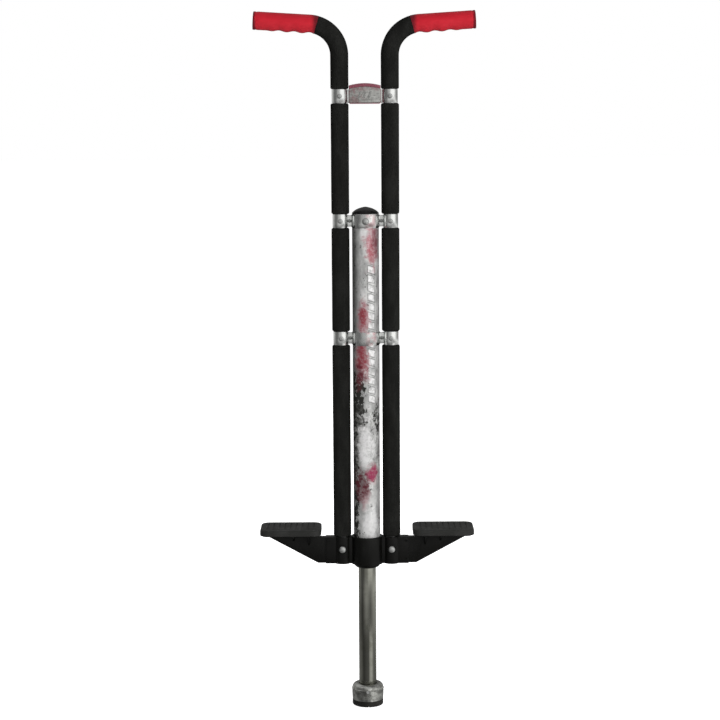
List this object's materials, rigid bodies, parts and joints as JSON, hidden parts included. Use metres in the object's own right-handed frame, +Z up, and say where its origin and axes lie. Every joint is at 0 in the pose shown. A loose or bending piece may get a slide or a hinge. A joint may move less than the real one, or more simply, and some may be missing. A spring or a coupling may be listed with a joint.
{
  "type": "pogo stick",
  "caption": "Spring pogo stick with a twin-tube handlebar, foam sleeves, rubber grips, footrests and a sliding plunger with a rubber tip.",
  "frame": {"origin": "middle of the rubber tip's flat sole, on the plunger's axis", "axes": "+Z up along the plunger, +X across the handles, +Y to the back (the badge is on the -Y side)"},
  "size_m": [0.3134, 0.064, 1],
  "materials": {
    "bar_chrome": "chrome plated tube",
    "grip_rubber": "moulded red rubber, satin",
    "foam": "closed-cell black foam, matt",
    "fastener_zinc": "bright zinc plate",
    "tread_rubber": "moulded rubber, matt",
    "clamp_chrome": "chrome plated pressed strip",
    "badge_plastic": "gloss red moulding",
    "badge_metal": "printed silver plate",
    "printed_housing": "printed silver wrap, gloss",
    "black_plastic": "fine moulded texture",
    "nylon": "natural nylon",
    "spring_steel": "oiled dark spring steel",
    "bumper_rubber": "rubber",
    "shaft_chrome": "chrome plated tube, lightly greased",
    "ferrule_metal": "speckled grey cast finish",
    "tip_rubber": "hard rubber, matt"
  },
  "bodies": {
    "frame": {"left_handlebar": "bar_chrome", "left_grip": "grip_rubber", "left_foam_bend": "foam", "left_foam_upper": "foam", "left_foam_middle": "foam", "left_foam_lower": "foam", "left_top_rivet_front": "fastener_zinc", "left_top_rivet_rear": "fastener_zinc", "left_middle_rivet_front": "fastener_zinc", "left_middle_rivet_rear": "fastener_zinc", "left_lower_rivet_front": "fastener_zinc", "left_lower_rivet_rear": "fastener_zinc", "left_tread_pad": "tread_rubber", "left_foot_bolt": "fastener_zinc", "left_foot_nut": "fastener_zinc", "right_handlebar": "bar_chrome", "right_grip": "grip_rubber", "right_foam_bend": "foam", "right_foam_upper": "foam", "right_foam_middle": "foam", "right_foam_lower": "foam", "right_top_rivet_front": "fastener_zinc", "right_top_rivet_rear": "fastener_zinc", "right_middle_rivet_front": "fastener_zinc", "right_middle_rivet_rear": "fastener_zinc", "right_lower_rivet_front": "fastener_zinc", "right_lower_rivet_rear": "fastener_zinc", "right_tread_pad": "tread_rubber", "right_foot_bolt": "fastener_zinc", "right_foot_nut": "fastener_zinc", "top_clamp_front": "clamp_chrome", "top_clamp_rear": "clamp_chrome", "middle_clamp_front": "clamp_chrome", "middle_clamp_rear": "clamp_chrome", "lower_clamp_front": "clamp_chrome", "lower_clamp_rear": "clamp_chrome", "badge_body": "badge_plastic", "badge_face": "badge_metal", "housing_tube": "printed_housing", "dome_cap": "black_plastic", "spring_plug": "nylon", "cross_bolt": "fastener_zinc", "cross_nut": "fastener_zinc", "main_spring": "spring_steel", "footrest_hub": "black_plastic", "housing_screw": "fastener_zinc", "guide_bush": "nylon", "rebound_bumper": "bumper_rubber"},
    "spring_seat": {"thrust_washer": "fastener_zinc"},
    "plunger": {"plunger_shaft": "shaft_chrome", "piston": "nylon", "piston_pin": "fastener_zinc", "tip_ferrule": "ferrule_metal", "ferrule_pin": "fastener_zinc", "rubber_tip": "tip_rubber"}
  },
  "joints": [
    {"name": "plunger_slide", "type": "slide", "parent": "frame", "child": "spring_seat", "axis": [0, 0, 1], "range_m": [0, 0.12], "stiffness_N_per_m": 13000, "springref_m": -0.015, "deforming": ["main_spring"]},
    {"name": "plunger_spin", "type": "hinge", "parent": "spring_seat", "child": "plunger", "pos_m": [0, 0, 0.15], "axis": [0, 0, 1], "continuous": true}
  ]
}
